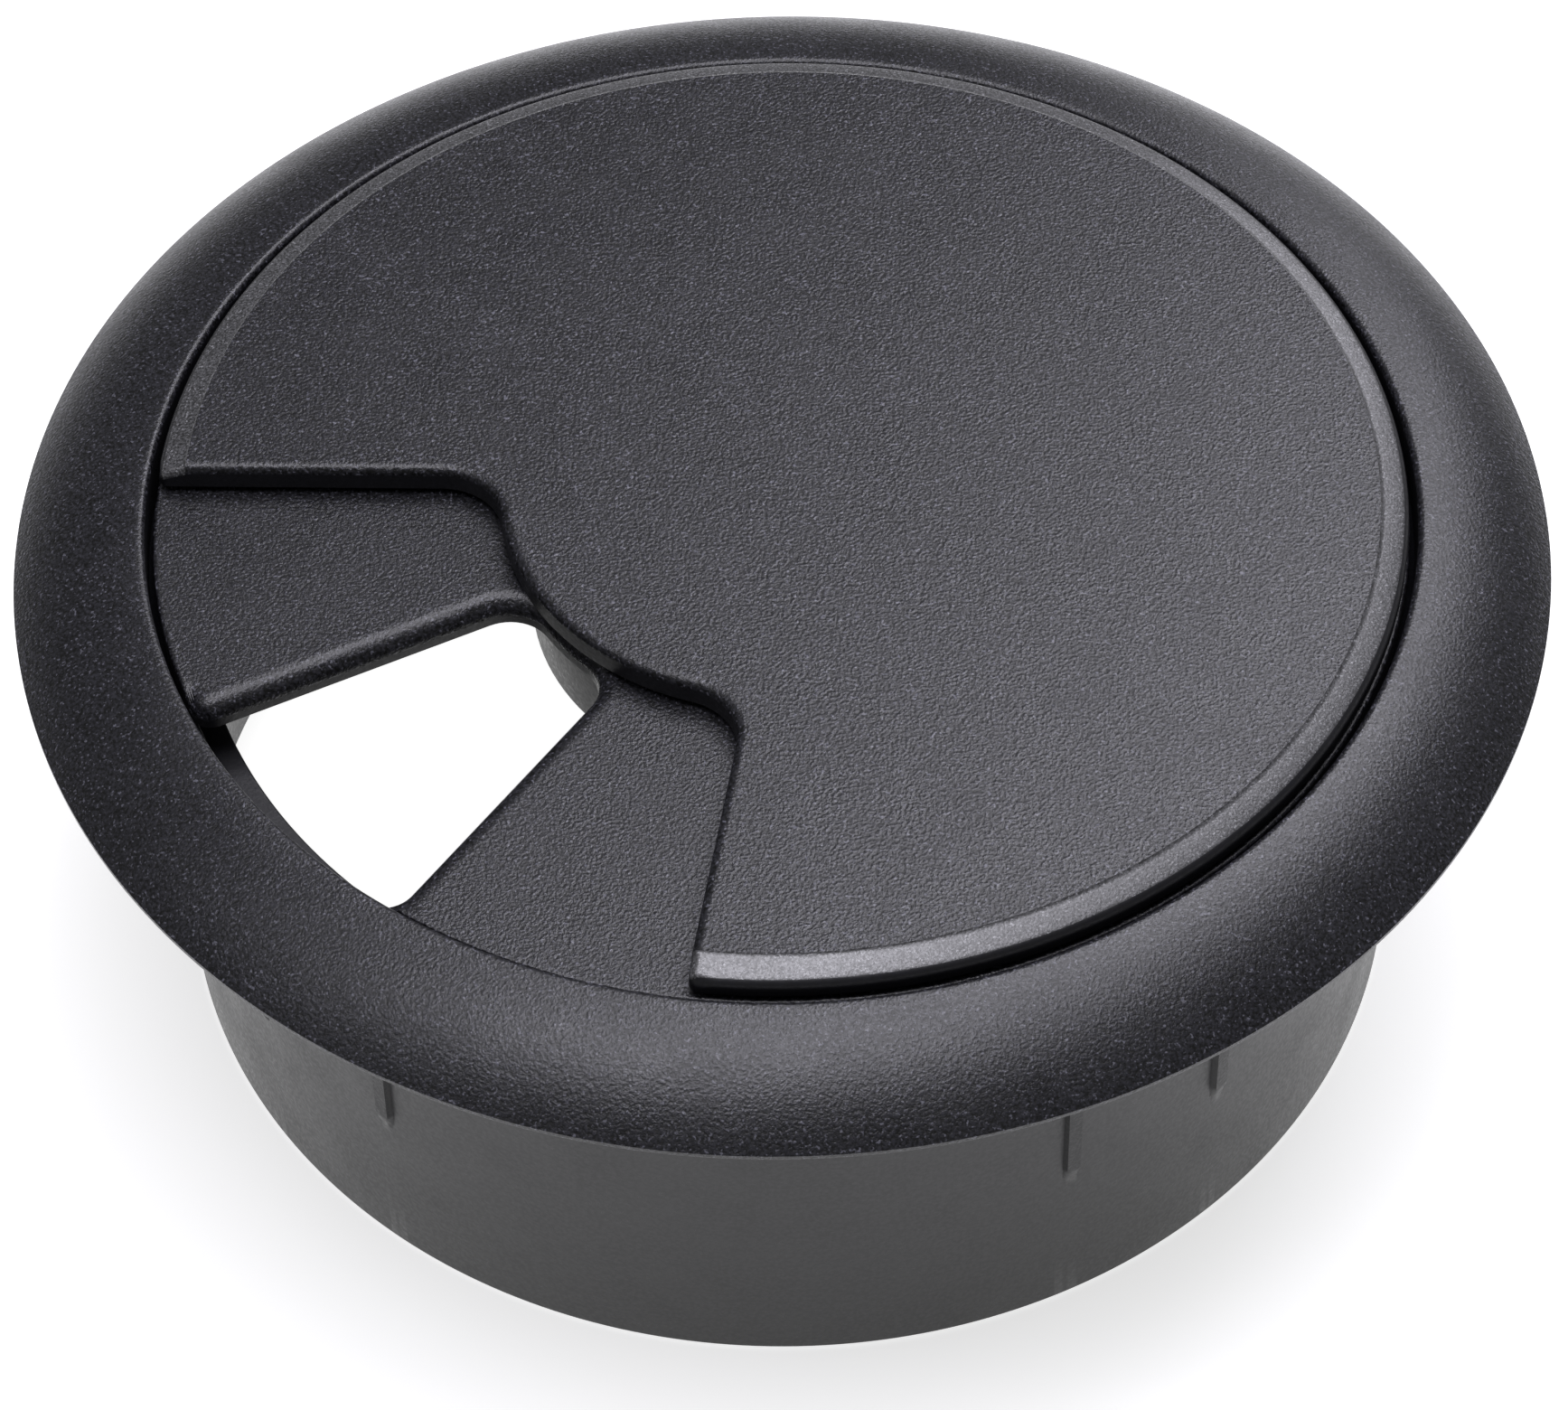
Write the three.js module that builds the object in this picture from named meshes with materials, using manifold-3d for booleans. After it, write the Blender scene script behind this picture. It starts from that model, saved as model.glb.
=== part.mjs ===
// Desk grommet for a 60 mm hole: a flanged liner, and an insert of a notched cap over a rotary shutter.
// Millimetres, +Z up. The origin is the centre of the sleeve's bottom edge.
import * as THREE from "three";
import { mergeVertices } from "three/addons/utils/BufferGeometryUtils.js";
import Module from "manifold-3d";

const wasm = await Module();
wasm.setup();

// ---- driving dimensions ----
const turnSegments = 72; // facets round every turned piece
const rimRadius = 36; // outside of the flange, 72 mm across
const flangeUnder = 23.5; // the face that lies on the desk top
const rimLand = 0.26; // upright outer edge of the flange
const rimTop = 26.43; // highest circle of the domed rim
const recessRadius = 29.65; // wall that the cap sits in
const sleeveRadius = 29.85; // outside of the sleeve
const capTop = 27.4;
const capThickness = 1.4;
const shutterTop = 25.73;
const plateThickness = 1.5;
const gap = 0.3; // vertical play between pieces that rest on each other

// ---- shared geometry ----
const degrees = THREE.MathUtils.degToRad;

// A piece turned about Z from a closed outline of [radius, height] points, listed anticlockwise.
function turned(outline) {
  const points = outline.map(([radius, height]) => new THREE.Vector2(radius, height));
  const last = points[points.length - 1];
  if (points[0].x > 0 || last.x > 0) points.push(points[0].clone());
  return new THREE.LatheGeometry(points, turnSegments).rotateX(Math.PI / 2);
}

// A flat outline in plan, raised from one height to another.
function raised(shape, bottom, top, curveSegments = 10) {
  const depth = top - bottom;
  return new THREE.ExtrudeGeometry(shape, { depth, curveSegments, bevelEnabled: false }).translate(0, 0, bottom);
}

function solid(geometry) {
  const positions = geometry.index ? geometry.toNonIndexed() : geometry.clone();
  positions.deleteAttribute("normal");
  positions.deleteAttribute("uv");
  const merged = mergeVertices(positions, 1e-4);
  const vertProperties = merged.attributes.position.array;
  const triVerts = new Uint32Array(merged.index.array);
  return new wasm.Manifold(new wasm.Mesh({ numProp: 3, vertProperties, triVerts }));
}

function geometryOf(manifold) {
  const mesh = manifold.getMesh();
  const geometry = new THREE.BufferGeometry();
  geometry.setAttribute("position", new THREE.BufferAttribute(mesh.vertProperties, 3));
  geometry.setIndex(new THREE.BufferAttribute(mesh.triVerts, 1));
  return geometry;
}

function piece(name, geometry, color, roughness) {
  const flat = geometry.index ? geometry.toNonIndexed() : geometry;
  flat.computeVertexNormals();
  const mesh = new THREE.Mesh(flat, new THREE.MeshStandardMaterial({ color, roughness, metalness: 0 }));
  mesh.name = name;
  return mesh;
}

// Plan outline of a wedge-shaped opening round the centre. Each side is a straight line with a heading in
// degrees, set off sideways from the centre towards the inside of the wedge, and a fillet joins it to the
// inner arc.
function wedge({ fromHeading, fromOffset, toHeading, toOffset, innerRadius, fillet, reach }) {
  const side = (heading, offset, turn) => {
    const along = new THREE.Vector2(Math.cos(degrees(heading)), Math.sin(degrees(heading)));
    const inward = new THREE.Vector2(-turn * along.y, turn * along.x);
    const at = (distance, sideways) =>
      along.clone().multiplyScalar(distance).addScaledVector(inward, sideways);
    const footDistance = Math.sqrt((innerRadius + fillet) ** 2 - (offset + fillet) ** 2);
    const centre = at(footDistance, offset + fillet);
    const lineAngle = inward.clone().negate().angle();
    return { outer: at(reach, offset), foot: at(footDistance, offset), centre, lineAngle };
  };
  const from = side(fromHeading, fromOffset, 1);
  const to = side(toHeading, toOffset, -1);
  const shape = new THREE.Shape();
  shape.moveTo(from.outer.x, from.outer.y);
  shape.lineTo(from.foot.x, from.foot.y);
  const fromInner = from.centre.clone().negate().angle();
  const toInner = to.centre.clone().negate().angle();
  shape.absarc(from.centre.x, from.centre.y, fillet, from.lineAngle, fromInner, true);
  shape.absarc(0, 0, innerRadius, from.centre.angle(), to.centre.angle(), false);
  shape.absarc(to.centre.x, to.centre.y, fillet, toInner, to.lineAngle, true);
  shape.lineTo(to.outer.x, to.outer.y);
  shape.closePath();
  return shape;
}

// ---- liner ----
const ledgeTop = 22.2;
const ledgeThickness = 1.3;
const ledgeRadius = 27.5;
const seatRadius = 28.95; // wall round the ledge
const mouthRadius = 29.25; // inside of the sleeve's bottom edge
const rimEdgeRound = 0.3;
const coreInner = 31; // ring cored out under the dome, so that its wall stays even
const coreOuter = 33.6;

// The dome is one arc from the rim's inner edge to its outer land.
function domeOutline(steps) {
  const innerSlope = degrees(6);
  const start = new THREE.Vector2(recessRadius + rimEdgeRound, rimTop);
  const end = new THREE.Vector2(rimRadius, flangeUnder + rimLand);
  const chord = end.clone().sub(start);
  const halfTurn = Math.atan2(-chord.y, chord.x) - innerSlope;
  const radius = chord.length() / (2 * Math.sin(halfTurn));
  const centre = new THREE.Vector2(
    start.x - radius * Math.sin(innerSlope),
    start.y - radius * Math.cos(innerSlope),
  );
  return Array.from({ length: steps + 1 }, (_, i) => {
    const slope = innerSlope + (2 * halfTurn * (steps - i)) / steps;
    return [centre.x + radius * Math.sin(slope), centre.y + radius * Math.cos(slope)];
  });
}

const domeSteps = 8;
const linerBody = solid(
  turned([
    [mouthRadius, 0],
    [sleeveRadius, 0],
    [sleeveRadius, flangeUnder],
    [coreInner, flangeUnder],
    [coreInner, 25.1],
    [coreOuter, 24.4],
    [coreOuter, flangeUnder],
    [rimRadius, flangeUnder],
    ...domeOutline(domeSteps),
    [recessRadius, rimTop - rimEdgeRound],
    [recessRadius, 24.1],
    [seatRadius, 23.6],
    [seatRadius, ledgeTop],
    [ledgeRadius, ledgeTop],
    [ledgeRadius, ledgeTop - ledgeThickness],
    [seatRadius, ledgeTop - ledgeThickness - 1],
  ]),
);

// Crush ribs, in pairs, that bite into the hole in the desk.
const ribHeadings = [34, 51, 115, 131, 214, 231, 295, 311];
const ribWidth = 0.65;
const ribProud = 0.3;
const ribBottom = 8.7;
const ribTaper = 1.6;

function rib(heading) {
  const root = sleeveRadius - 0.35;
  const crest = sleeveRadius + ribProud;
  const profile = new THREE.Shape();
  profile.moveTo(root, ribBottom);
  profile.lineTo(sleeveRadius, ribBottom);
  profile.lineTo(crest, ribBottom + ribTaper);
  profile.lineTo(crest, flangeUnder + 0.1);
  profile.lineTo(root, flangeUnder + 0.1);
  profile.closePath();
  const bar = new THREE.ExtrudeGeometry(profile, { depth: ribWidth, bevelEnabled: false });
  return solid(bar.translate(0, 0, -ribWidth / 2).rotateX(Math.PI / 2).rotateZ(degrees(heading)));
}

const liner = ribHeadings.reduce((body, heading) => body.add(rib(heading)), linerBody);

// ---- cap ----
const capRadius = 29.2;
const fieldRadius = 27.83; // edge of the textured top field
const fieldStep = 0.06;
const crownRadius = 5; // curve of the edge that falls away round the field
const crownSlope = degrees(16); // where that curve starts
const bossRadius = 4;
const bossEnd = 21.4;
const grooveRadius = 3.3;
const clipTop = shutterTop - plateThickness - gap;
const clipThickness = 1;
const capUnder = capTop - capThickness;
const grooveTop = clipTop + 0.15;
const grooveBottom = clipTop - clipThickness - 0.15;

// The cap's edge curves down from the step round the field to the cap's outer wall.
function crownOutline(steps) {
  const start = new THREE.Vector2(fieldRadius + fieldStep, capTop - fieldStep);
  const axis = start.x - crownRadius * Math.sin(crownSlope);
  const base = start.y - crownRadius * Math.cos(crownSlope);
  const endSlope = Math.asin((capRadius - axis) / crownRadius);
  return Array.from({ length: steps + 1 }, (_, i) => {
    const slope = endSlope + ((crownSlope - endSlope) * i) / steps;
    return [axis + crownRadius * Math.sin(slope), base + crownRadius * Math.cos(slope)];
  });
}

const crownSteps = 4;
const capDisc = solid(
  turned([
    [0, bossEnd],
    [bossRadius - 0.8, bossEnd],
    [bossRadius, bossEnd + 0.8],
    [bossRadius, grooveBottom],
    [grooveRadius, grooveBottom],
    [grooveRadius, grooveTop],
    [bossRadius, grooveTop],
    [bossRadius, capUnder],
    [capRadius, capUnder],
    ...crownOutline(crownSteps),
    [fieldRadius, capTop],
    [0, capTop],
  ]),
);
const notch = wedge({
  fromHeading: 177.7,
  fromOffset: -0.5,
  toHeading: 260.2,
  toOffset: -0.5,
  innerRadius: 13.05,
  fillet: 3,
  reach: 2 * capRadius,
});
const cap = capDisc.subtract(solid(raised(notch, capUnder - 1, capTop + 1)));

// ---- shutter ----
const shutterRadius = 29.3;
const shutterEdge = 0.15;
const plateUnder = shutterTop - plateThickness;
const hubRadius = 11.9;
const hubWall = 1.2;
const hubBottom = 19.5;
const skirtWall = 0.7;
const skirtRadius = 28.6;
const skirtClearance = 3; // the skirt stops this far short of the slot
const boreRadius = bossRadius + 0.15;

const shutterDisc = solid(
  turned([
    [boreRadius, plateUnder],
    [hubRadius - hubWall, plateUnder],
    [hubRadius - hubWall, hubBottom],
    [hubRadius, hubBottom],
    [hubRadius, plateUnder],
    [skirtRadius - skirtWall, plateUnder],
    [skirtRadius - skirtWall, ledgeTop + gap],
    [skirtRadius, ledgeTop + gap],
    [skirtRadius, plateUnder],
    [shutterRadius, plateUnder],
    [shutterRadius, shutterTop - shutterEdge],
    [shutterRadius - shutterEdge, shutterTop],
    [boreRadius, shutterTop],
  ]),
);
const slotSides = { fromHeading: 205.3, toHeading: 234, fillet: 2.1, reach: 2 * shutterRadius };
const slotFromOffset = -0.4;
const slotToOffset = 0.3;
const slot = wedge({
  ...slotSides,
  fromOffset: slotFromOffset,
  toOffset: slotToOffset,
  innerRadius: 12.8,
});
const skirtBreak = wedge({
  ...slotSides,
  fromOffset: slotFromOffset - skirtClearance,
  toOffset: slotToOffset - skirtClearance,
  innerRadius: (hubRadius + skirtRadius) / 2,
});
const shutter = shutterDisc
  .subtract(solid(raised(slot, ledgeTop, shutterTop + 0.1)))
  .subtract(solid(raised(skirtBreak, ledgeTop, plateUnder)));

// ---- retaining clip: a push-on ring with an open mouth, in the boss's groove ----
const clipRadius = 7.4;
const clipBore = grooveRadius + 0.1;
const mouthHalfAngle = degrees(52);

function clipOutline() {
  const shape = new THREE.Shape();
  shape.absarc(0, 0, clipRadius, mouthHalfAngle, -mouthHalfAngle, false);
  shape.absarc(0, 0, clipBore, -mouthHalfAngle, mouthHalfAngle, true);
  shape.closePath();
  return shape;
}

const clip = raised(clipOutline(), clipTop - clipThickness, clipTop, 32);

// ---- the assembly ----
const black = 0x26262a;
const satinBlack = 0x202024;

const insert = new THREE.Group();
insert.add(piece("cap", geometryOf(cap), black, 0.5));
insert.add(piece("shutter", geometryOf(shutter), black, 0.5));
insert.add(piece("retaining_clip", clip, satinBlack, 0.4));

const grommet = new THREE.Group();
grommet.add(piece("liner", geometryOf(liner), black, 0.45));
grommet.add(insert);

export default grommet;
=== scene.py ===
"""Desk grommet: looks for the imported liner, cap, shutter and retaining clip.

Sizes below are millimetres in the row frame; meshes are scaled to metres when they are made.
"""

import math

import bmesh
import bpy
import numpy as np
from mathutils import Matrix, Vector
from mathutils.geometry import delaunay_2d_cdt


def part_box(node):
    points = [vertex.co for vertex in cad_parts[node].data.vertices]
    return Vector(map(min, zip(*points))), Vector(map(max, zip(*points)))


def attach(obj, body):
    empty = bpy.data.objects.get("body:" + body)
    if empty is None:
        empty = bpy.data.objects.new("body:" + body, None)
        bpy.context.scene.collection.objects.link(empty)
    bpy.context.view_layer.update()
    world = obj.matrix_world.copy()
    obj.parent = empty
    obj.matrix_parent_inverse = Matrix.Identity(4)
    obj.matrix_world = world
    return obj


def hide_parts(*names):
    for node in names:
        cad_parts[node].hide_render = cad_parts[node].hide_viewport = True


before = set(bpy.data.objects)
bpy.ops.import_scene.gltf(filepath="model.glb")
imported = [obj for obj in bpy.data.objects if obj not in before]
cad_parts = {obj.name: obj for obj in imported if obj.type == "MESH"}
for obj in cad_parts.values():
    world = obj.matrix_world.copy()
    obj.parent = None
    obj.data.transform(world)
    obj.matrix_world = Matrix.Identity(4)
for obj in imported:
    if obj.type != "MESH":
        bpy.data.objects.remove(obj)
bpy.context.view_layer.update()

MM = 0.001


def box_mm(node):
    """The low and high corners of a CAD node's box."""
    low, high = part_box(node)
    return low / MM, high / MM


_, liner_high = box_mm("liner")
cap_low, cap_high = box_mm("cap")
shutter_low, shutter_high = box_mm("shutter")
clip_low, clip_high = box_mm("retaining_clip")

# ---- driving dimensions, millimetres ----
RIM_RADIUS = liner_high.x
RIM_TOP = liner_high.z
RIM_LAND = 0.26  # upright outer edge of the flange
RIM_EDGE_ROUND = 0.3  # rounding of the dome's inner edge
FLANGE_UNDER = 23.5
CORE_INNER, CORE_OUTER = 31.0, 33.6  # ring cored out under the dome
RECESS_RADIUS = 29.65
RECESS_BOTTOM = 24.1
SLEEVE_RADIUS = 29.85
SEAT_TOP = 23.6
SEAT_RADIUS = 28.95
LEDGE_TOP = 22.2
LEDGE_THICKNESS = 1.3
LEDGE_RADIUS = 27.5
MOUTH_RADIUS = 29.25

CAP_TOP = cap_high.z
CAP_THICKNESS = 1.4
CAP_UNDER = CAP_TOP - CAP_THICKNESS
CAP_RADIUS = 29.2
FIELD_RADIUS = 27.83
BOSS_RADIUS = 4.0
BOSS_CORE = 1.6
GROOVE_RADIUS = 3.3

PLATE_TOP = shutter_high.z
PLATE_THICKNESS = 1.5
PLATE_UNDER = PLATE_TOP - PLATE_THICKNESS
PLATE_RADIUS = 29.3
BORE_RADIUS = 4.15
HUB_RADIUS = 11.9
HUB_WALL = 1.2
HUB_BOTTOM = shutter_low.z
SKIRT_RADIUS = 28.6
SKIRT_WALL = 0.7
SKIRT_CLEARANCE = 3.0  # the skirt stops this far short of the slot
SKIRT_BOTTOM = LEDGE_TOP + 0.3

CLIP_RADIUS = 7.4
CLIP_BORE = 3.4
CLIP_MOUTH = math.radians(52)  # half of the open mouth

# A wedge cut out of a disc. Each side is (heading in degrees, sideways offset towards the wedge).
CAP_NOTCH = {"radius": CAP_RADIUS, "corner": 0.45, "inner": 13.05, "fillet": 3.0,
             "from": (177.7, -0.5), "to": (260.2, -0.5)}
SLOT = {"radius": PLATE_RADIUS, "corner": 1.0, "inner": 12.8, "fillet": 2.1,
        "from": (205.3, -0.4), "to": (234.0, 0.3), "flare": 1.5}


# ---- plane geometry ----
def unit(angle):
    return np.array([math.cos(angle), math.sin(angle)])


def heading(point):
    return math.atan2(point[1], point[0])


def arc(centre, radius, start, sweep, steps):
    """Points along an arc, without its last one."""
    return [centre + radius * unit(start + sweep * i / steps) for i in range(steps)]


def shortest(start, end):
    """The turn from start to end, between minus and plus half a turn."""
    return (end - start + math.pi) % (2 * math.pi) - math.pi


class Side:
    """A straight side of a wedge, with a fillet at its inner end and a rounded corner or a flare at the
    disc's edge. It has a heading, a sideways offset, and a direction inward, in which the wedge lies."""

    FLARE_REACH = 0.85  # how far in from the disc's edge the flare's centre lies, in flare radii

    def __init__(self, disc, key):
        degrees, self.offset = disc[key]
        self.along = unit(math.radians(degrees))
        turn = 1 if key == "from" else -1
        self.inward = turn * np.array([-self.along[1], self.along[0]])
        self.disc = disc
        fillet, corner = disc["fillet"], disc["corner"]
        self.fillet_centre = self.tangent(disc["inner"] + fillet, self.offset + fillet)
        self.flare = disc.get("flare", 0) if key == "to" else 0
        if self.flare:
            edge_reach = self.tangent(disc["radius"], self.offset) @ self.along
            reach = edge_reach - self.FLARE_REACH * self.flare
            self.corner_centre = self.along * reach + self.inward * (self.offset + self.flare)
        else:
            self.corner_centre = self.tangent(disc["radius"] - corner, self.offset - corner)

    def tangent(self, radius, sideways):
        """The point at that radius on the line that far to the side."""
        return self.along * math.sqrt(radius**2 - sideways**2) + self.inward * sideways

    def edge_heading(self, inset):
        """Where the corner or the flare starts on the disc's edge."""
        centre = heading(self.corner_centre)
        if not self.flare:
            return centre
        away = np.linalg.norm(self.corner_centre)
        radius = self.flare + inset
        edge = self.disc["radius"] - inset
        swing = math.acos((edge**2 - away**2 - radius**2) / (2 * away * radius))
        side = math.copysign(1, shortest(centre, heading(-self.inward)))
        return heading(self.corner_centre + radius * unit(centre + side * swing))

    def corner_arc(self, inset, steps):
        """From the disc's edge to the side."""
        end = heading(-self.inward) if self.flare else heading(self.inward)
        if self.flare:
            edge = (self.disc["radius"] - inset) * unit(self.edge_heading(inset))
            start = heading(edge - self.corner_centre)
            return arc(self.corner_centre, self.flare + inset, start, shortest(start, end), steps)
        radius = self.disc["corner"] - inset
        start = heading(self.corner_centre)
        if radius > 0:
            return arc(self.corner_centre, radius, start, shortest(start, end), steps)
        return [self.tangent(self.disc["radius"] - inset, self.offset - inset)] * steps

    def line(self, inset, steps, radii=()):
        """From the corner inwards to the fillet, with a point at each radius in radii."""
        sideways = self.offset - inset
        outer_reach = self.corner_centre @ self.along
        if inset > self.disc["corner"] and not self.flare:
            outer_reach = self.tangent(self.disc["radius"] - inset, sideways) @ self.along
        foot = self.fillet_centre @ self.along
        reaches = [foot + (outer_reach - foot) * (steps - i) / steps for i in range(steps)]
        reaches += [self.tangent(r, sideways) @ self.along for r in radii]
        reaches = [r for r in reaches if foot < r <= outer_reach + 1e-9]
        return [self.along * r + self.inward * sideways for r in sorted(reaches, reverse=True)]

    def fillet_arc(self, inset, steps):
        """From the side to the inner arc."""
        start = heading(-self.inward)
        sweep = shortest(start, heading(-self.fillet_centre))
        return arc(self.fillet_centre, self.disc["fillet"] + inset, start, sweep, steps)


def notched_outline(disc, inset, radii=(), rim_steps=240):
    """A disc with a wedge cut out, anticlockwise and inset into the material. Returns the points, and how
    many of the first ones border the wedge."""
    before, after = Side(disc, "from"), Side(disc, "to")
    corner_steps, line_steps, fillet_steps, inner_steps = 6, 14, 12, 24
    zero = np.zeros(2)
    first, last = heading(before.fillet_centre), heading(after.fillet_centre)
    points = before.corner_arc(inset, corner_steps)
    points += before.line(inset, line_steps, radii)
    points += before.fillet_arc(inset, fillet_steps)
    points += arc(zero, disc["inner"] - inset, first, shortest(first, last), inner_steps)
    wedge_end = []
    for part in (after.corner_arc(inset, corner_steps), after.line(inset, line_steps, radii),
                 after.fillet_arc(inset, fillet_steps)):
        wedge_end += part
    fillet_end = after.fillet_centre - (disc["fillet"] + inset) * unit(heading(after.fillet_centre))
    points += [fillet_end, *reversed(wedge_end)]
    border = len(points)
    first = after.edge_heading(inset)
    sweep = (before.edge_heading(inset) - first) % (2 * math.pi)
    points += arc(zero, disc["radius"] - inset, first, sweep, rim_steps)[1:]
    return points, border


def circle(radius, steps):
    return arc(np.zeros(2), radius, 0, 2 * math.pi, steps)


def distance_to(points, path):
    """Distance of each point to an open path of points."""
    points, path = np.array(points), np.array(path)
    best = np.full(len(points), np.inf)
    for a, b in zip(path[:-1], path[1:]):
        run = b - a
        length = run @ run
        if length < 1e-12:
            continue
        share = np.clip((points - a) @ run / length, 0, 1)
        best = np.minimum(best, np.linalg.norm(points - a - share[:, None] * run, axis=1))
    return best


def inside(point, loop):
    """Whether the point lies in the closed loop, by the crossings of a ray to its right."""
    x, y = point
    hit = False
    for (x0, y0), (x1, y1) in zip(loop, loop[1:] + loop[:1]):
        if (y0 > y) != (y1 > y) and x < x0 + (y - y0) * (x1 - x0) / (y1 - y0):
            hit = not hit
    return hit


def fill(outer, holes=(), loops=(), lines=()):
    """Triangles of the region inside outer and outside the holes, with edges along the loops and lines.
    Returns the points and the triangles."""
    index, points, edges = {}, [], []

    def place(p):
        key = (round(float(p[0]), 5), round(float(p[1]), 5))
        if key not in index:
            index[key] = len(points)
            points.append(Vector(key))
        return index[key]

    def chain(path, closed):
        ids = [place(p) for p in path]
        ends = ids[1:] + ids[:1] if closed else ids[1:]
        edges.extend((a, b) for a, b in zip(ids, ends) if a != b)
        return ids

    ring = chain(outer, True)
    ring = [a for a, b in zip(ring, ring[1:] + ring[:1]) if a != b]
    for path in [*holes, *loops]:
        chain(path, True)
    for path in lines:
        chain(path, False)
    found = delaunay_2d_cdt(points, edges, [ring], 1, 1e-7)
    hole_loops = [[tuple(p) for p in hole] for hole in holes]
    triangles = []
    for face in found[2]:
        middle = sum((found[0][i] for i in face), Vector((0, 0))) / len(face)
        if not any(inside(middle, hole) for hole in hole_loops):
            triangles.append(tuple(face))
    return [(p.x, p.y) for p in found[0]], triangles


# ---- solids ----
WELD = 0.0006  # points closer than this are one point


class Solid:
    """Collects faces in millimetres, welds their shared points and makes one closed mesh of them."""

    def __init__(self):
        self.index, self.points, self.faces, self.kinds = {}, [], [], []

    def place(self, x, y, z):
        key = (round(float(x), 4), round(float(y), 4), round(float(z), 4))
        if key not in self.index:
            self.index[key] = len(self.points)
            self.points.append(key)
        return self.index[key]

    def face(self, corners, kind):
        ids = [self.place(*c) for c in corners]
        ids = [a for a, b in zip(ids, ids[1:] + ids[:1]) if a != b]
        if len(set(ids)) >= 3:
            self.faces.append(ids)
            self.kinds.append(kind)

    def skin(self, region, height, kind, flip=False):
        """A filled region raised to height(points), facing up, or down if flipped."""
        points, triangles = region
        heights = height(points)
        for triangle in triangles:
            corners = [(*points[i], heights[i]) for i in triangle]
            name = kind(corners) if callable(kind) else kind
            self.face(corners[::-1] if flip else corners, name)

    def wall(self, upper, lower, kind):
        """Between two closed rings of (x, y, z), anticlockwise from above, facing out."""
        turn = len(upper)
        for i in range(turn):
            j = (i + 1) % turn
            corners = [upper[i], lower[i], lower[j], upper[j]]
            self.face(corners, kind(corners) if callable(kind) else kind)

    def make(self, name, materials, sharp=35):
        mesh = bpy.data.meshes.new(name)
        mesh.from_pydata([Vector(p) * MM for p in self.points], [], self.faces)
        order = list(materials)
        for key in order:
            mesh.materials.append(materials[key])
        mesh.polygons.foreach_set("material_index", [order.index(k) for k in self.kinds])
        build = bmesh.new()
        build.from_mesh(mesh)
        bmesh.ops.remove_doubles(build, verts=build.verts, dist=WELD * MM)
        bmesh.ops.recalc_face_normals(build, faces=build.faces)
        open_edges = sum(1 for e in build.edges if len(e.link_faces) != 2)
        build.to_mesh(mesh)
        build.free()
        if open_edges:
            print(f"{name}: {open_edges} edges are not shared by two faces")
        mesh.shade_smooth()
        mesh.set_sharp_from_angle(angle=math.radians(sharp))
        piece = bpy.data.objects.new(name, mesh)
        bpy.context.scene.collection.objects.link(piece)
        weigh = piece.modifiers.new("even shading", "WEIGHTED_NORMAL")
        weigh.keep_sharp = True
        weigh.mode = "FACE_AREA"
        return piece


def level(z):
    """A height function for a flat skin."""
    return lambda points: [z] * len(points)


def at_height(path, z):
    return [(p[0], p[1], z) for p in path]


def softened(outline, steps=4):
    """A closed profile of (radius, height, rounding, kind) corners as (radius, height, kind) points, with
    each corner rounded. kind names the face that follows the corner."""
    points = []
    for i, (x, y, rounding, kind) in enumerate(outline):
        here = np.array([x, y])
        if rounding <= 0:
            points.append((x, y, kind))
            continue
        before = np.array(outline[i - 1][:2]) - here
        after = np.array(outline[(i + 1) % len(outline)][:2]) - here
        before, after = before / np.linalg.norm(before), after / np.linalg.norm(after)
        half = math.acos(max(-1, min(1, before @ after))) / 2
        reach = rounding / math.tan(half)
        bisector = (before + after) / np.linalg.norm(before + after)
        centre = here + bisector * rounding / math.sin(half)
        start = heading(here + before * reach - centre)
        sweep = shortest(start, heading(here + after * reach - centre))
        for k in range(steps + 1):
            points.append((*(centre + rounding * unit(start + sweep * k / steps)), kind))
    return points


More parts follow.
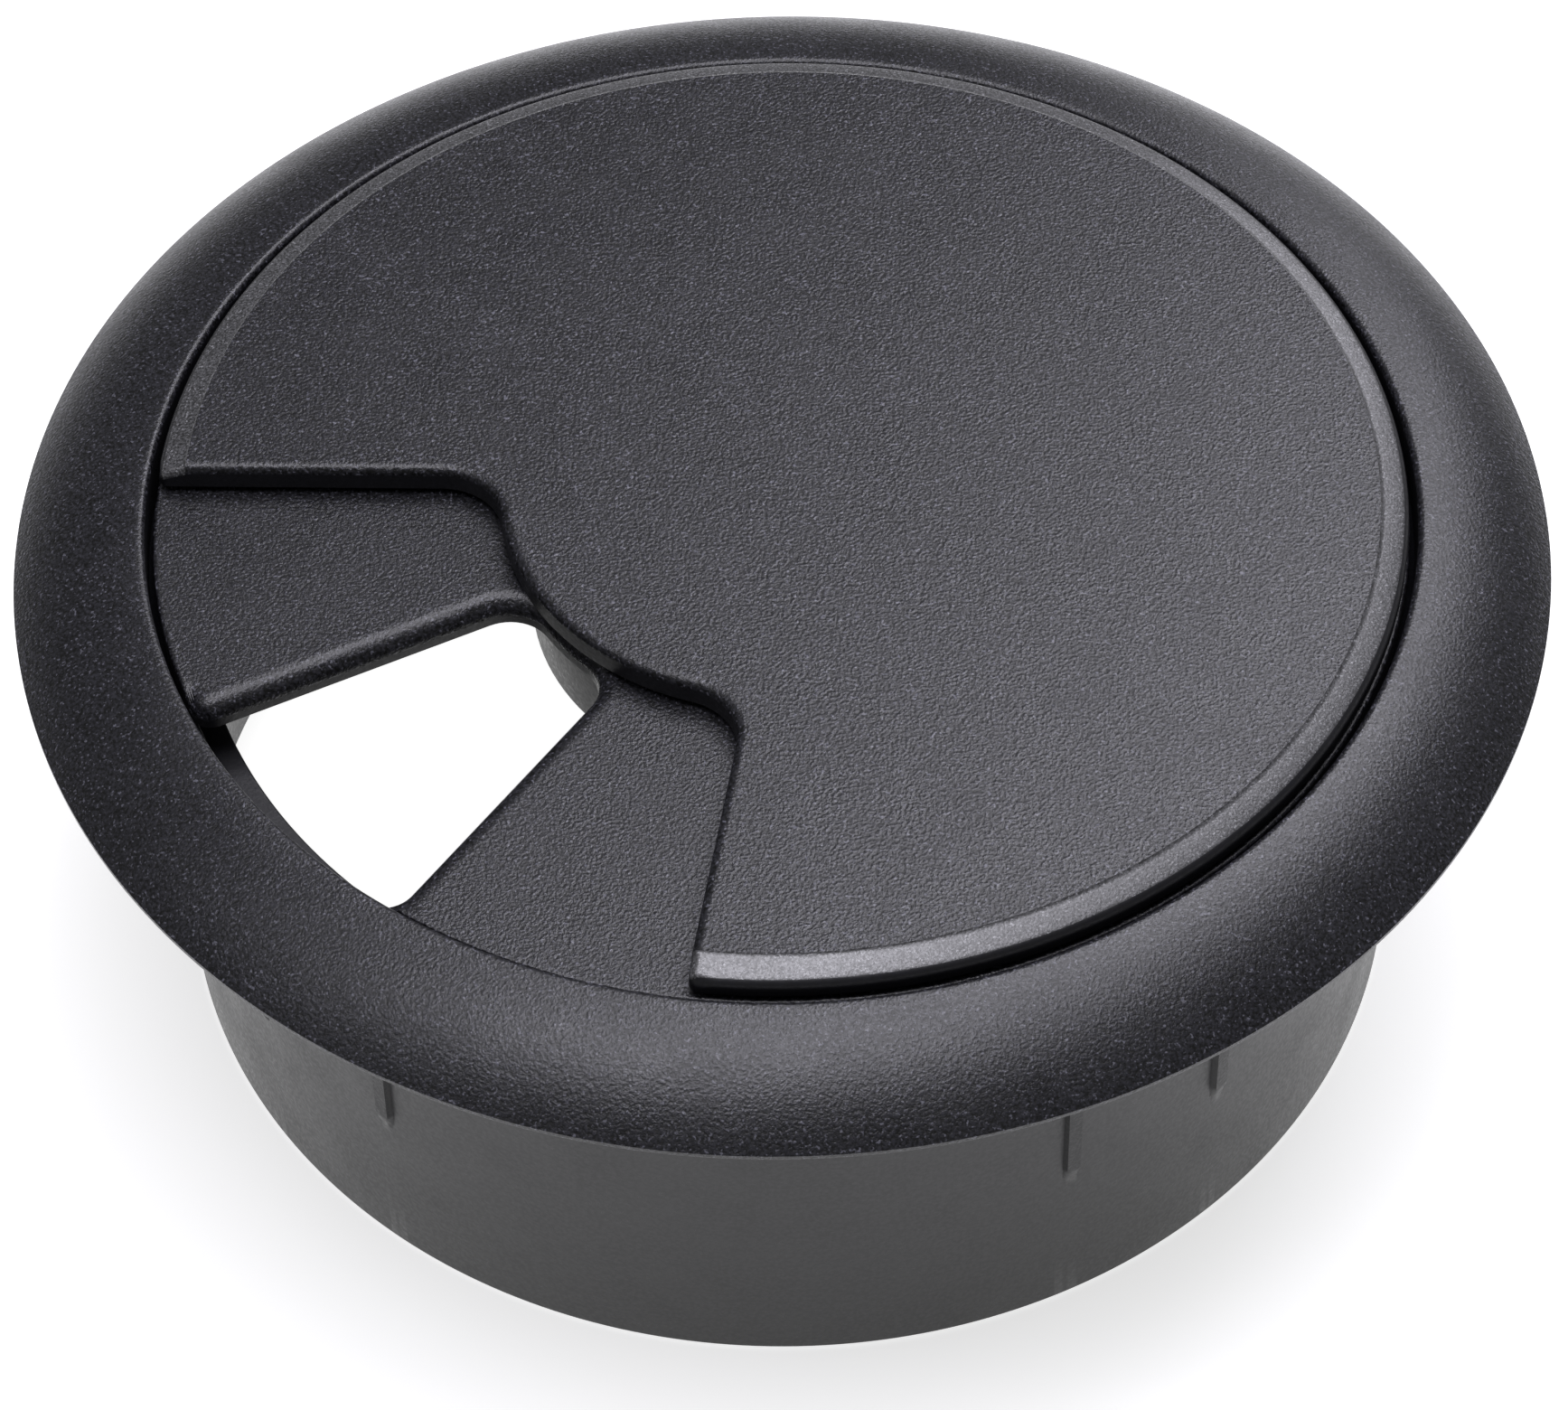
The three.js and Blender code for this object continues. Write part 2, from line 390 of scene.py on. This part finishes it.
# ---- materials ----
def plastic(name, colour, roughness, grain, depth, painted_grain_light, painted_glints=0.0, specular=0.5):
    """Black moulded plastic with a spark-eroded grain. grain is the grain's size and depth its height, both
    in millimetres; contrast is how much lighter its crests and darker its pits are painted, a painted
    highlight and painted shade on the grain, and glints how bright the painted sparkles on single grains
    are."""
    material = bpy.data.materials.new(name)
    material.use_nodes = True
    nodes, links = material.node_tree.nodes, material.node_tree.links
    shader = nodes["Principled BSDF"]
    shader.inputs["IOR"].default_value = 1.5
    shader.inputs["Specular IOR Level"].default_value = specular
    place = nodes.new("ShaderNodeTexCoord")

    def noise(size, detail, rough=0.5):
        node = nodes.new("ShaderNodeTexNoise")
        node.inputs["Scale"].default_value = 1 / (size * MM)
        node.inputs["Detail"].default_value = detail
        node.inputs["Roughness"].default_value = rough
        links.new(place.outputs["Object"], node.inputs["Vector"])
        return node.outputs["Fac"]

    def cells(size):
        node = nodes.new("ShaderNodeTexVoronoi")
        node.inputs["Scale"].default_value = 1 / (size * MM)
        links.new(place.outputs["Object"], node.inputs["Vector"])
        return node.outputs["Distance"]

    def spread(value, low, high, to_low, to_high):
        node = nodes.new("ShaderNodeMapRange")
        node.inputs["From Min"].default_value = low
        node.inputs["From Max"].default_value = high
        node.inputs["To Min"].default_value = to_low
        node.inputs["To Max"].default_value = to_high
        links.new(value, node.inputs["Value"])
        return node.outputs["Result"]

    def both(operation, a, b):
        node = nodes.new("ShaderNodeMath")
        node.operation = operation
        for socket, value in zip(node.inputs, (a, b)):
            if isinstance(value, (int, float)):
                socket.default_value = value
            else:
                links.new(value, socket)
        return node.outputs["Value"]

    crests = spread(noise(grain, 2, 0.6), 0.32, 0.68, 0.0, 1.0)
    domes = spread(cells(grain * 1.25), 0.0, 0.75, 1.0, 0.0)
    relief = both("ADD", both("MULTIPLY", crests, 0.55), both("MULTIPLY", domes, 0.45))

    # colour: a broad random cloudiness, crests painted lighter than pits as painted highlight and painted
    # shade on the grain, and a few single grains painted bright as painted sparkle
    cloud = spread(noise(9.0, 3), 0.3, 0.7, 0.9, 1.1)
    cloud_and_painted_light = both("MULTIPLY", cloud, spread(relief, 0.2, 0.8, 1 - painted_grain_light, 1 + painted_grain_light))
    # painted sparkle: a few single grains made much lighter in colour, standing in for light glinting off
    # them
    if painted_glints:
        painted_glint_spots = spread(noise(grain * 1.1, 1), 0.62, 0.74, 0.0, painted_glints)
        cloud_and_painted_light = both("ADD", cloud_and_painted_light, painted_glint_spots)
    tint = nodes.new("ShaderNodeVectorMath")
    tint.operation = "SCALE"
    tint.inputs[0].default_value = colour
    links.new(cloud_and_painted_light, tint.inputs["Scale"])
    links.new(tint.outputs["Vector"], shader.inputs["Base Color"])

    # roughness: a little uneven, and smoother on the crests
    uneven = spread(noise(3.0, 4), 0.3, 0.7, -0.035, 0.035)
    worn = spread(relief, 0.2, 0.8, 0.06, -0.06)
    links.new(both("ADD", both("ADD", uneven, worn), roughness), shader.inputs["Roughness"])

    bump = nodes.new("ShaderNodeBump")
    bump.inputs["Strength"].default_value = 1.0
    bump.inputs["Distance"].default_value = depth * MM
    links.new(relief, bump.inputs["Height"])
    links.new(bump.outputs["Normal"], shader.inputs["Normal"])
    return material


BLACK = (0.014, 0.014, 0.017)
grain_black = plastic("grained black plastic", BLACK, 0.31,
                      grain=0.155, depth=0.024, painted_grain_light=0.95, painted_glints=6.5)
rim_black = plastic("rim black plastic", BLACK, 0.32,
                    grain=0.145, depth=0.019, painted_grain_light=0.95, painted_glints=6.0)
# The bevel's colour, about four times lighter than the cap's black, is a painted highlight for the bright
# band round the cap; its lower roughness and finer grain are its real satin finish.
bevel_black_painted_highlight = plastic("satin bevel plastic with painted highlight", (0.060, 0.060, 0.063), 0.28,
                      grain=0.11, depth=0.007, painted_grain_light=0.8, painted_glints=3.0, specular=1.0)
# The walls' colour, darker than the cap's and rim's black, is painted shade on the faces in the gaps and
# recesses between cap, rim and shutter; their fainter grain is real.
wall_black_painted_shade = plastic("smooth wall plastic with painted shade", (0.006, 0.006, 0.008), 0.40,
                     grain=0.20, depth=0.006, painted_grain_light=0.4)
sleeve_black = plastic("satin sleeve plastic", (0.013, 0.013, 0.014), 0.34,
                       grain=0.20, depth=0.004, painted_grain_light=0.2)
rib_black = plastic("rib plastic", (0.008, 0.008, 0.009), 0.42,
                    grain=0.15, depth=0.010, painted_grain_light=0.5)


# ---- liner ----
RIB_HEADINGS = (34, 51, 115, 131, 214, 231, 295, 311)
RIB_HALF_WIDTH = 0.33
RIB_PROUD = 0.3
RIB_BOTTOM = 8.7
RIB_TAPER = 1.6
RIB_FLANK = 0.1
INNER_SLOPE = math.radians(6)  # the dome's slope at its inner edge


def dome(steps):
    """The rim's top, one arc from the outer land to the inner edge."""
    start = np.array([RECESS_RADIUS + RIM_EDGE_ROUND, RIM_TOP])
    end = np.array([RIM_RADIUS, FLANGE_UNDER + RIM_LAND])
    chord = end - start
    half_turn = math.atan2(-chord[1], chord[0]) - INNER_SLOPE
    radius = np.linalg.norm(chord) / (2 * math.sin(half_turn))
    centre = start - radius * np.array([math.sin(INNER_SLOPE), math.cos(INNER_SLOPE)])
    slopes = [INNER_SLOPE + 2 * half_turn * (steps - i) / steps for i in range(steps + 1)]
    return [tuple(centre + radius * np.array([math.sin(s), math.cos(s)])) for s in slopes]


def liner_profile():
    """Closed profile, anticlockwise, as (radius, height, kind of the face that follows)."""
    rises = (-0.15, 0.05, 0.4, 0.8, RIB_TAPER - 0.2, RIB_TAPER, RIB_TAPER + 0.4)
    rib_rows = [RIB_BOTTOM + rise for rise in rises]
    sleeve_rows = (3.0, 6.0, *rib_rows, 17.0)
    edge_centre = np.array([RECESS_RADIUS + RIM_EDGE_ROUND, RIM_TOP - RIM_EDGE_ROUND])
    inner_edge = arc(edge_centre, RIM_EDGE_ROUND, math.pi / 2, math.pi / 2, 6)
    outline = [
        (LEDGE_RADIUS, LEDGE_TOP, 0.15, "sleeve"),
        (LEDGE_RADIUS, LEDGE_TOP - LEDGE_THICKNESS, 0.2, "sleeve"),
        (SEAT_RADIUS, LEDGE_TOP - LEDGE_THICKNESS - 1, 0.3, "sleeve"),
        (MOUTH_RADIUS, 0, 0.12, "sleeve"),
        (SLEEVE_RADIUS, 0, 0.18, "sleeve"),
        *[(SLEEVE_RADIUS, z, 0, "sleeve") for z in sleeve_rows],
        (SLEEVE_RADIUS, FLANGE_UNDER, 0, "sleeve"),
        (CORE_INNER, FLANGE_UNDER, 0.15, "sleeve"),
        (CORE_INNER, 25.1, 0.3, "sleeve"),
        (CORE_OUTER, 24.4, 0.3, "sleeve"),
        (CORE_OUTER, FLANGE_UNDER, 0.15, "sleeve"),
        (RIM_RADIUS, FLANGE_UNDER, 0.08, "rim"),
        *[(r, z, 0, "rim") for r, z in dome(28)[:-1]],
        *[(*p, 0, "rim") for p in inner_edge],
        (RECESS_RADIUS, RIM_TOP - RIM_EDGE_ROUND, 0, "wall"),
        (RECESS_RADIUS, RECESS_BOTTOM, 0.1, "wall"),
        (SEAT_RADIUS, SEAT_TOP, 0.1, "wall"),
        (SEAT_RADIUS, LEDGE_TOP, 0.15, "wall"),
    ]
    return softened(outline)


def smooth(share):
    """Eases a share from 0 to 1, flat at both ends."""
    share = max(0.0, min(1.0, share))
    return share * share * (3 - 2 * share)


def rib_swell(radius, z, turn):
    """How far a crush rib stands out of the sleeve there. A rib narrows to a rounded tip at the bottom."""
    if abs(radius - SLEEVE_RADIUS) > 1e-6 or z < RIB_BOTTOM or z > FLANGE_UNDER:
        return 0.0
    nearest = min(abs(shortest(math.radians(h), turn)) for h in RIB_HEADINGS)
    across = nearest * SLEEVE_RADIUS
    length_share = smooth((z - RIB_BOTTOM) / RIB_TAPER)
    half = RIB_HALF_WIDTH * (0.35 + 0.65 * length_share)
    return RIB_PROUD * length_share * smooth((half + RIB_FLANK - across) / RIB_FLANK)


def make_liner():
    step_degrees = 1.25
    turns = set(np.round(np.radians(np.arange(0, 360, step_degrees)), 9))
    for rib in RIB_HEADINGS:
        for across in (-0.52, -0.43, -0.38, -0.33, -0.22, 0, 0.22, 0.33, 0.38, 0.43, 0.52):
            turns.add(round(math.radians(rib) + across / SLEEVE_RADIUS, 9))
    turns = sorted(turns)
    profile = liner_profile()
    solid = Solid()
    rings = []
    for radius, z, _ in profile:
        ring = []
        for turn in turns:
            out = radius + rib_swell(radius, z, turn)
            ring.append((out * math.cos(turn), out * math.sin(turn), z))
        rings.append(ring)

    def sleeve_kind(corners):
        """The ribs' crests are duller than the sleeve."""
        reach = min(math.hypot(x, y) for x, y, _ in corners)
        at_rib_height = RIB_BOTTOM - 1 < corners[0][2] < FLANGE_UNDER + 0.1
        proud = SLEEVE_RADIUS + RIB_PROUD / 2 < reach < SLEEVE_RADIUS + RIB_PROUD + 0.2
        return "rib" if at_rib_height and proud else "sleeve"

    for i, (_, _, kind) in enumerate(profile):
        solid.wall(rings[(i + 1) % len(rings)], rings[i], sleeve_kind if kind == "sleeve" else kind)
    materials = {"sleeve": sleeve_black, "rib": rib_black, "rim": rim_black, "wall": wall_black_painted_shade}
    return solid.make("liner_moulding", materials)


# ---- cap ----
def drop(distance, rounding):
    """How far a rounded edge has fallen at that distance in from it, taken to the nearest micrometre."""
    short = np.clip(rounding - np.round(distance, 3), 0, rounding)
    return rounding - np.sqrt(rounding**2 - short**2)


def rounding_insets(rounding, steps):
    """Insets that follow a quarter round, closest together at the edge."""
    return [rounding * (1 - math.sin(math.pi / 2 * (steps - i) / steps)) for i in range(steps + 1)]


STEP_WIDTH = 0.06  # the step round the field
STEP_DROP = 0.06
CROWN_RADIUS = 12.0  # the curve that falls from the step to the cap's edge
CROWN_SLOPE = math.radians(17)  # where that curve starts
CAP_EDGE = 0.28  # rounding of the outer edge
CAP_NOTCH_EDGE = 0.42  # rounding along the notch
CAP_FOOT = 0.12  # bevel at the cap's lower edge


def cap_height(points):
    """The cap's top: a flat field, a small step down, a crown that curves down to the cap's wall, and a
    rounded edge. All of it is rounded off at the notch."""
    border, count = notched_outline(CAP_NOTCH, 0)
    radii = np.linalg.norm(np.array(points), axis=1)
    step = STEP_DROP * np.clip((radii - FIELD_RADIUS) / STEP_WIDTH, 0, 1)
    axis = FIELD_RADIUS + STEP_WIDTH - CROWN_RADIUS * math.sin(CROWN_SLOPE)
    out = np.clip(radii, FIELD_RADIUS + STEP_WIDTH, CAP_RADIUS) - axis
    bevel = CROWN_RADIUS * math.cos(CROWN_SLOPE) - np.sqrt(CROWN_RADIUS**2 - out**2)
    edge = drop(CAP_RADIUS - radii, CAP_EDGE)
    return CAP_TOP - step - bevel - edge - drop(distance_to(points, border[:count]), CAP_NOTCH_EDGE)


def crossing_line(disc, radius, insets, steps):
    """A circle of that radius between the wedge's sides, through the points of the inset outlines."""
    before, after = Side(disc, "from"), Side(disc, "to")
    starts = [after.tangent(radius, after.offset - i) for i in insets]
    ends = [before.tangent(radius, before.offset - i) for i in reversed(insets)]
    first = heading(starts[-1])
    sweep = (heading(ends[0]) - first) % (2 * math.pi)
    return starts + arc(np.zeros(2), radius, first, sweep, steps)[1:] + ends


def boss_profile():
    """The axle boss from its foot down, as (radius, height): the clip's groove, and a core up its middle."""
    play, foot, chamfer, ease = 0.15, 0.5, 0.1, 0.05
    groove_top, groove_bottom = clip_high.z + play, clip_low.z - play
    return [
        (BOSS_RADIUS + foot, CAP_UNDER),
        (BOSS_RADIUS + 0.15, CAP_UNDER - 0.12),
        (BOSS_RADIUS, CAP_UNDER - foot),
        (BOSS_RADIUS, groove_top + chamfer),
        (BOSS_RADIUS - chamfer, groove_top),
        (GROOVE_RADIUS + ease, groove_top),
        (GROOVE_RADIUS, groove_top - ease),
        (GROOVE_RADIUS, groove_bottom + ease),
        (GROOVE_RADIUS + ease, groove_bottom),
        (BOSS_RADIUS - chamfer, groove_bottom),
        (BOSS_RADIUS, groove_bottom - chamfer),
        (BOSS_RADIUS, cap_low.z + 0.8),
        (BOSS_RADIUS - 0.15, cap_low.z + 0.5),
        (BOSS_RADIUS - 0.8, cap_low.z),
        (BOSS_CORE + 0.4, cap_low.z),
        (BOSS_CORE + 0.1, cap_low.z + 0.3),
        (BOSS_CORE, CAP_UNDER - foot),
    ]


def make_cap():
    solid = Solid()
    insets = rounding_insets(CAP_NOTCH_EDGE, 7) + [CAP_NOTCH_EDGE + 0.12]
    step_lines = (FIELD_RADIUS - 0.12, FIELD_RADIUS, FIELD_RADIUS + STEP_WIDTH)
    crown_lines = (28.05, 28.2, 28.35, 28.5, 28.62)
    lines_at = (*step_lines, *crown_lines)
    outlines = [notched_outline(CAP_NOTCH, inset, lines_at)[0] for inset in insets]
    crossing = [crossing_line(CAP_NOTCH, r, insets, 240) for r in lines_at]
    inner_rings = [circle(r, 96) for r in (4.0, 8.0, 11.5)]
    region = fill(outlines[0], loops=outlines[1:] + inner_rings, lines=crossing)

    def kind(corners):
        """The textured field, the satin bevel round it, whose lighter colour is a painted highlight, and the
        smooth edge that falls to the wall, whose darker colour is painted shade.
        """
        radius = np.mean([math.hypot(x, y) for x, y, _ in corners])
        if radius > CAP_RADIUS - 0.8 * CAP_EDGE:
            return "wall"
        return "field" if radius < FIELD_RADIUS else "bevel"

    solid.skin(region, cap_height, kind)
    outer = outlines[0]
    tops = cap_height(outer)
    upper = [(p[0], p[1], z) for p, z in zip(outer, tops)]
    middle = at_height(outer, CAP_UNDER + CAP_FOOT)
    inset_foot = notched_outline(CAP_NOTCH, CAP_FOOT, lines_at)[0]
    lower = at_height(inset_foot, CAP_UNDER)
    solid.wall(upper, middle, "wall")
    solid.wall(middle, lower, "wall")
    boss_steps = 64
    profile = boss_profile()
    boss_top = circle(profile[0][0], boss_steps)
    solid.skin(fill(inset_foot, holes=[boss_top]), level(CAP_UNDER), "wall", flip=True)
    rings = [at_height(circle(r, boss_steps), z) for r, z in profile]
    for above, below in zip(rings, rings[1:]):
        solid.wall(above, below, "wall")
    solid.skin(fill([np.array(p[:2]) for p in rings[-1]]), level(profile[-1][1]), "wall", flip=True)
    materials = {"field": grain_black, "bevel": bevel_black_painted_highlight, "wall": wall_black_painted_shade}
    return solid.make("cap_moulding", materials)


# ---- shutter ----
LIP_EDGE = 0.9  # rounding of the slot's lips
LIP_FOOT = 0.35  # the lips' lowest upright part
PLATE_EDGE = 0.15


def plate_height(points):
    """The shutter's top: flat, with a small edge round it and broad rounded lips along the slot."""
    border, count = notched_outline(SLOT, 0)
    radii = np.linalg.norm(np.array(points), axis=1)
    heights = PLATE_TOP - drop(PLATE_RADIUS - radii, PLATE_EDGE)
    heights = heights - drop(distance_to(points, border[:count]), LIP_EDGE)
    return np.maximum(heights, PLATE_UNDER + LIP_FOOT)


def skirt_outline(inset):
    """Plan of the locating skirt under the plate: a ring that stops well short of the slot."""
    before, after = Side(SLOT, "from"), Side(SLOT, "to")
    sideways = SKIRT_CLEARANCE + inset
    points = []
    for radius, ccw in ((SKIRT_RADIUS - inset, True), (SKIRT_RADIUS - SKIRT_WALL + inset, False)):
        start = after.tangent(radius, after.offset - sideways)
        end = before.tangent(radius, before.offset - sideways)
        first = heading(start)
        sweep = (heading(end) - first) % (2 * math.pi)
        path = arc(np.zeros(2), radius, first, sweep, 200) + [end]
        points += path if ccw else path[::-1]
    return points


def make_shutter():
    solid = Solid()
    insets = rounding_insets(LIP_EDGE, 10) + [LIP_EDGE + 0.15]
    outlines = [notched_outline(SLOT, inset)[0] for inset in insets]
    bore_edge, bore_steps = 0.2, 64
    hole_top, hole = circle(BORE_RADIUS + bore_edge, bore_steps), circle(BORE_RADIUS, bore_steps)
    inner_rings = [circle(r, 96) for r in (7.0, 10.5)]
    region = fill(outlines[0], holes=[hole_top], loops=outlines[1:] + inner_rings)
    solid.skin(region, plate_height, "field")
    outer = outlines[0]
    foot = 0.15
    upper = [(p[0], p[1], z) for p, z in zip(outer, plate_height(outer))]
    inset_foot = notched_outline(SLOT, foot)[0]
    middle = at_height(outer, PLATE_UNDER + foot)
    solid.wall(upper, middle, "wall")
    solid.wall(middle, at_height(inset_foot, PLATE_UNDER), "wall")
    solid.wall(at_height(hole, PLATE_TOP - bore_edge), at_height(hole_top, PLATE_TOP), "wall")
    solid.wall(at_height(hole, PLATE_UNDER), at_height(hole, PLATE_TOP - bore_edge), "wall")

    ease, hub_steps = 0.15, 120
    hub_in = HUB_RADIUS - HUB_WALL
    hub_outer, hub_inner = circle(HUB_RADIUS, hub_steps), circle(hub_in, hub_steps)
    skirt = skirt_outline(0)
    under = fill(inset_foot, holes=[hub_outer, skirt])
    solid.skin(under, level(PLATE_UNDER), "under", flip=True)
    solid.skin(fill(hub_inner, holes=[hole]), level(PLATE_UNDER), "under", flip=True)

    skirt_ease = skirt_outline(ease)
    solid.wall(at_height(skirt, PLATE_UNDER), at_height(skirt, SKIRT_BOTTOM + ease), "under")
    solid.wall(at_height(skirt, SKIRT_BOTTOM + ease), at_height(skirt_ease, SKIRT_BOTTOM), "under")
    solid.skin(fill(skirt_ease), level(SKIRT_BOTTOM), "under", flip=True)

    hub_profile = [
        (HUB_RADIUS, PLATE_UNDER),
        (HUB_RADIUS, HUB_BOTTOM + ease),
        (HUB_RADIUS - ease, HUB_BOTTOM),
        (hub_in + ease, HUB_BOTTOM),
        (hub_in, HUB_BOTTOM + ease),
        (hub_in, PLATE_UNDER),
    ]
    rings = [at_height(circle(r, hub_steps), z) for r, z in hub_profile]
    for above, below in zip(rings, rings[1:]):
        solid.wall(above, below, "under")
    materials = {"field": grain_black, "wall": wall_black_painted_shade, "under": sleeve_black}
    return solid.make("shutter_moulding", materials)


# ---- retaining clip ----
def clip_outline(inset):
    """Plan of the push-on ring, with its open mouth."""
    points = []
    for radius, ccw in ((CLIP_RADIUS - inset, True), (CLIP_BORE + inset, False)):
        start = CLIP_MOUTH + inset / radius
        sweep = 2 * (math.pi - start)
        path = arc(np.zeros(2), radius, start, sweep, 72) + [radius * unit(start + sweep)]
        points += path if ccw else path[::-1]
    return points


def make_clip():
    solid = Solid()
    ease = 0.15
    full, eased = clip_outline(0), clip_outline(ease)
    low, high = clip_low.z, clip_high.z
    solid.skin(fill(eased), level(high), "clip")
    solid.wall(at_height(eased, high), at_height(full, high - ease), "clip")
    solid.wall(at_height(full, high - ease), at_height(full, low + ease), "clip")
    solid.wall(at_height(full, low + ease), at_height(eased, low), "clip")
    solid.skin(fill(eased), level(low), "clip", flip=True)
    return solid.make("clip_moulding", {"clip": sleeve_black})


PIECES = (
    (make_liner, "liner", "liner", "liner_plastic"),
    (make_cap, "cap", "cap", "cap_plastic"),
    (make_shutter, "shutter", "shutter", "shutter_plastic"),
    (make_clip, "retaining_clip", "axle", "clip_plastic"),
)
for make, node, body, slot in PIECES:
    piece = make()
    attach(piece, body)
    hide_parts(node)


# ---- camera ----
def make_camera():
    """Looks down at 49 degrees from the front, with the rim's centre above the picture's middle."""
    pitch, roll = math.radians(49.37), math.radians(-1.21)
    distance, drop_off, slide, rim_height = 252.0, 8.045, -0.13, 23.73
    sensor_width, focal_length = 36.0, 123.05
    back = Vector((0, -math.cos(pitch), math.sin(pitch)))
    side, up = Vector((1, 0, 0)), Vector((0, math.sin(pitch), math.cos(pitch)))
    right = math.cos(roll) * side + math.sin(roll) * up
    top = -math.sin(roll) * side + math.cos(roll) * up
    centre = Vector((0, 0, rim_height))
    place = centre - slide * right - drop_off * top + distance * back
    data = bpy.data.cameras.new("camera")
    data.sensor_width = sensor_width
    data.lens = focal_length
    data.clip_start, data.clip_end = 0.01, 10
    camera = bpy.data.objects.new("camera", data)
    turn = Matrix((right, top, back)).transposed().to_4x4()
    camera.matrix_world = Matrix.Translation(place * MM) @ turn
    bpy.context.scene.collection.objects.link(camera)
    bpy.context.scene.camera = camera


# ---- stage and light ----
# how brightly the table glows at each distance from the middle, in millimetres; the full brightness inside
# 29 mm is a painted pool of light under the grommet, and the dip at 30 mm, just outside the sleeve's foot,
# is a painted contact shadow
FLOOR_GLOW_WITH_PAINTED_LIGHT = ((0.0, 1.0), (29.0, 1.0), (30.0, 0.68), (45.0, 0.80), (96.0, 0.80), (220.0, 0.30))


def make_floor():
    """A pale translucent table, lit from below, with a painted pool of light where the grommet stands and a
    painted contact shadow round the sleeve's foot.
    """
    mesh = bpy.data.meshes.new("floor")
    half = 3.0
    corners = [(-half, -half, 0), (half, -half, 0), (half, half, 0), (-half, half, 0)]
    mesh.from_pydata(corners, [], [(0, 1, 2, 3)])
    table = bpy.data.materials.new("pale table")
    table.use_nodes = True
    nodes, links = table.node_tree.nodes, table.node_tree.links
    shader = nodes["Principled BSDF"]
    shader.inputs["Base Color"].default_value = (0.6, 0.6, 0.6, 1)
    shader.inputs["Roughness"].default_value = 0.9
    shader.inputs["Specular IOR Level"].default_value = 0.1
    shader.inputs["Emission Color"].default_value = (1, 1, 1, 1)
    place = nodes.new("ShaderNodeNewGeometry")
    away = nodes.new("ShaderNodeVectorMath")
    away.operation = "LENGTH"
    links.new(place.outputs["Position"], away.inputs[0])
    reach = FLOOR_GLOW_WITH_PAINTED_LIGHT[-1][0] * MM
    share = nodes.new("ShaderNodeMath")
    share.operation = "DIVIDE"
    share.use_clamp = True
    share.inputs[1].default_value = reach
    links.new(away.outputs["Value"], share.inputs[0])
    # this ramp paints the pool of light under the grommet and the contact shadow at the sleeve's foot into
    # the table's emission
    table_glow_with_painted_light = nodes.new("ShaderNodeValToRGB")
    ramp = table_glow_with_painted_light.color_ramp.elements
    while len(ramp) < len(FLOOR_GLOW_WITH_PAINTED_LIGHT):
        ramp.new(0.5)
    for stop, (radius, strength) in zip(ramp, FLOOR_GLOW_WITH_PAINTED_LIGHT):
        stop.position = radius * MM / reach
        stop.color = (strength, strength, strength, 1)
    links.new(share.outputs["Value"], table_glow_with_painted_light.inputs["Fac"])
    links.new(table_glow_with_painted_light.outputs["Color"], shader.inputs["Emission Strength"])
    mesh.materials.append(table)
    floor = bpy.data.objects.new("floor", mesh)
    bpy.context.scene.collection.objects.link(floor)


# metres
LIGHT_DISTANCE = 0.30
LIGHT_WIDTH = 0.09
LIGHT_AIM = Vector((0, 0, 0.02))
# name, brightness, and the heading and height in degrees of each of its softboxes
LIGHT_BANKS = (
    ("overhead", 3.8, ((0, 88), (262, 77), (228, 68), (200, 75))),
    ("key", 5.5, ((60, 50), (70, 62))),
    ("key_edge", 2.8, ((75, 76), (100, 70))),
    ("strip", 2.2, ((30, 62), (42, 48), (54, 34), (62, 20))),
    ("fill", 2.0, ((200, 50), (0, 72), (315, 72))),
)
LIGHT_COLOUR = (1.0, 0.985, 1.075)
ROOM_LIGHT = 0.14


def softbox(name, brightness, heading_degrees, height_degrees):
    """A square light that faces the grommet."""
    data = bpy.data.lights.new(name, "AREA")
    data.shape = "SQUARE"
    data.size = LIGHT_WIDTH
    data.energy = brightness * math.pi * LIGHT_WIDTH**2
    data.color = LIGHT_COLOUR
    light = bpy.data.objects.new(name, data)
    turn, rise = math.radians(heading_degrees), math.radians(height_degrees)
    away = Vector((math.cos(rise) * math.cos(turn), math.cos(rise) * math.sin(turn), math.sin(rise)))
    light.location = LIGHT_AIM + away * LIGHT_DISTANCE
    light.rotation_euler = (-away).to_track_quat("-Z", "Y").to_euler()
    light.visible_camera = False
    bpy.context.scene.collection.objects.link(light)


def make_light():
    """The banks of softboxes, and a faint even light from all round."""
    for name, brightness, directions in LIGHT_BANKS:
        for direction in directions:
            softbox(name, brightness, *direction)
    world = bpy.data.worlds.new("studio")
    world.use_nodes = True
    world.node_tree.nodes["Background"].inputs["Color"].default_value = (1, 1, 1, 1)
    world.node_tree.nodes["Background"].inputs["Strength"].default_value = ROOM_LIGHT
    bpy.context.scene.world = world
    bpy.context.scene.view_settings.view_transform = "Standard"


make_camera()
make_floor()
make_light()
